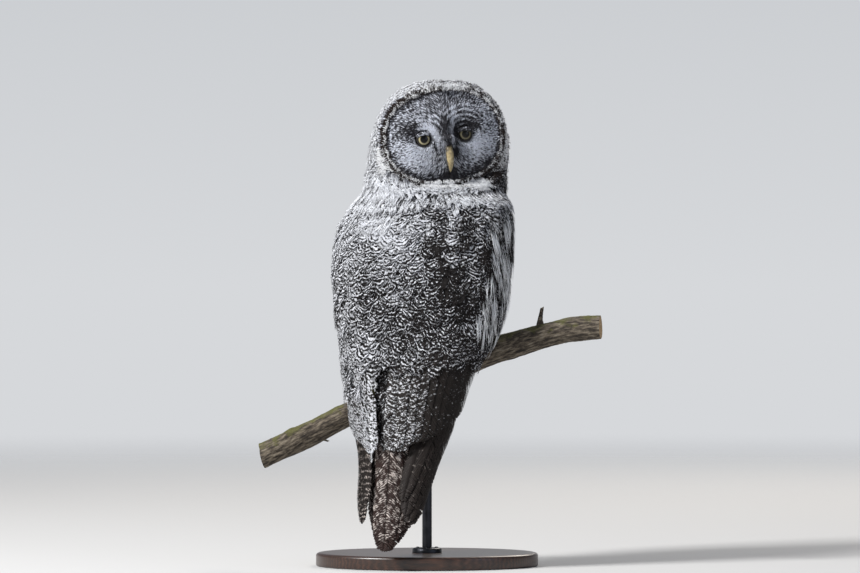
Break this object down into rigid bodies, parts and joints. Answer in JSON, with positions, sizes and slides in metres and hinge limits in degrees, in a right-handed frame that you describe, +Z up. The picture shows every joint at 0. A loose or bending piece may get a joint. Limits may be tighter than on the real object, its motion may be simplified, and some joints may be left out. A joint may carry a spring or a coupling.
{
  "type": "great grey owl",
  "caption": "Life-size great grey owl looking back over its shoulder, perched on a cut length of branch on a plain stand.",
  "frame": {"origin": "centre of the underside of the stand's base, right under the rod", "axes": "+Z up, along the rod; the viewer stands on the -Y side, which the owl's face looks towards while its back is turned; +X to that viewer's right, along the longer side of the base"},
  "size_m": [0.4639, 0.2778, 0.656],
  "materials": {
    "grey_plumage": "soft grey, white and dark brown barred feathers",
    "flight_feather": "stiff dark grey-brown barred vanes",
    "eye": "wet glossy yellow iris with a black pupil",
    "bill_horn": "smooth yellow horn",
    "claw_horn": "polished black horn",
    "bark": "rough weathered bark",
    "stand_wood": "dark stained wood, satin",
    "stand_steel": "blackened steel"
  },
  "bodies": {
    "root": {"torso": "grey_plumage", "neck": "grey_plumage", "head": "grey_plumage", "leg_left": "grey_plumage", "leg_right": "grey_plumage", "wing_left": "flight_feather", "wing_right": "flight_feather", "tail": "flight_feather", "eye_left": "eye", "eye_right": "eye", "bill_upper": "bill_horn", "bill_lower": "bill_horn", "claw_left_1": "claw_horn", "claw_left_2": "claw_horn", "claw_left_3": "claw_horn", "claw_left_4": "claw_horn", "claw_right_1": "claw_horn", "claw_right_2": "claw_horn", "claw_right_3": "claw_horn", "claw_right_4": "claw_horn", "perch": "bark", "stand_base": "stand_wood", "stand_flange": "stand_steel", "stand_rod": "stand_steel"}
  },
  "joints": []
}
